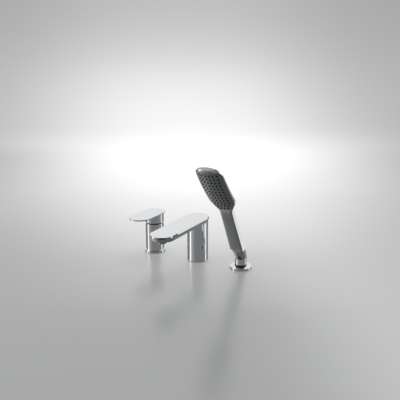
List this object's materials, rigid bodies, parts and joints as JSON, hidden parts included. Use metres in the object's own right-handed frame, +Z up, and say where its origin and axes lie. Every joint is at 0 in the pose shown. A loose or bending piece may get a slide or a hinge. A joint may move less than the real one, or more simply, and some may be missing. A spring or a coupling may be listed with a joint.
{
  "type": "deck-mounted bath mixer with hand shower",
  "caption": "Deck bath mixer in three units: lever mixer column, flat spout with diverter, and hand shower in its leaning holder.",
  "frame": {"origin": "centre of the spout foot on the deck surface", "axes": "+Z up from the deck, +X along the row from the mixer column to the hand shower, -Y from the deck toward the bath"},
  "size_m": [0.2987, 0.2218, 0.331],
  "materials": {
    "polished_chrome": "bright polished plating",
    "black_rubber": "soft matt rubber",
    "black_plastic": "fine matt moulding",
    "spray_plate": "smooth mid-grey moulding",
    "white_plastic": "natural white engineering plastic",
    "ceramic": "lapped white ceramic",
    "brass": "turned brass",
    "steel": "plain stainless steel"
  },
  "bodies": {
    "deck_set": {"mixer_gasket": "black_rubber", "mixer_base_ring": "polished_chrome", "mixer_body": "polished_chrome", "cartridge_seals": "black_rubber", "cartridge_housing": "white_plastic", "cartridge_fixed_disc": "ceramic", "cartridge_nut": "brass", "index_plug": "polished_chrome", "glide_ring": "black_plastic", "mixer_shank": "brass", "spout_body": "polished_chrome", "spout_gasket": "black_rubber", "spout_set_screw": "steel", "aerator_housing": "polished_chrome", "aerator_insert": "white_plastic", "aerator_seal": "black_rubber", "diverter_block": "brass", "diverter_block_seals": "black_rubber", "diverter_gland": "polished_chrome", "diverter_spring": "steel", "spout_shank": "brass", "deck_rubber_washers": "black_rubber", "deck_steel_washers": "steel", "deck_nuts": "brass", "holder_gasket": "black_rubber", "holder_flange": "polished_chrome", "holder_foot_ring": "black_plastic", "holder_shank": "brass", "holder_rubber_washer": "black_rubber", "holder_steel_washer": "steel", "holder_nut": "brass"},
    "mixer_turret": {"cartridge_turret": "white_plastic", "cartridge_pin": "steel"},
    "mixer_disc": {"cartridge_moving_disc": "ceramic", "cartridge_disc_carrier": "white_plastic"},
    "mixer_lever": {"lever": "polished_chrome", "cartridge_stem": "brass", "lever_grub_screw": "steel", "lever_screw_plug": "polished_chrome"},
    "diverter_pull": {"diverter_stem": "brass", "diverter_disc": "black_rubber", "diverter_knob": "polished_chrome"},
    "shower_holder": {"holder_post": "polished_chrome", "holder_liner": "black_plastic"},
    "handset_seat": {"handset_cone": "polished_chrome", "inlet_filter": "white_plastic"},
    "handset": {"handset_shell": "polished_chrome", "spray_face": "spray_plate", "spray_nozzles": "black_rubber", "spray_chamber": "white_plastic", "handset_water_tube": "white_plastic"}
  },
  "joints": [
    {"name": "mixer_turn", "type": "hinge", "parent": "deck_set", "child": "mixer_turret", "pos_m": [-0.125, 0, 0.0735], "axis": [0, 0, 1], "range_deg": [-50, 50]},
    {"name": "lever_lift", "type": "hinge", "parent": "mixer_turret", "child": "mixer_lever", "pos_m": [-0.125, 0, 0.0735], "axis": [-1, 0, 0], "range_deg": [0, 20]},
    {"name": "disc_slide", "type": "slide", "parent": "mixer_turret", "child": "mixer_disc", "axis": [0, -1, 0], "range_m": [0, 0.00308]},
    {"name": "diverter_pull", "type": "slide", "parent": "deck_set", "child": "diverter_pull", "axis": [0, 1, 0], "range_m": [0, 0.008], "stiffness_N_per_m": 300, "springref_m": -0.004, "deforming": ["diverter_spring"]},
    {"name": "holder_swivel", "type": "hinge", "parent": "deck_set", "child": "shower_holder", "pos_m": [0.1164, 0, 0.015], "axis": [0, 0, 1], "range_deg": [-90, 90]},
    {"name": "handset_pull", "type": "slide", "parent": "shower_holder", "child": "handset_seat", "axis": [0, -0.4974, 0.8675], "range_m": [0, 0.06]},
    {"name": "handset_turn", "type": "hinge", "parent": "handset_seat", "child": "handset", "pos_m": [0.1164, -0.01567, 0.05483], "axis": [0, -0.4974, 0.8675], "continuous": true}
  ],
  "couplings": [
    {"joint": "disc_slide", "follows": "lever_lift", "m_per_rad": 0.00882}
  ]
}
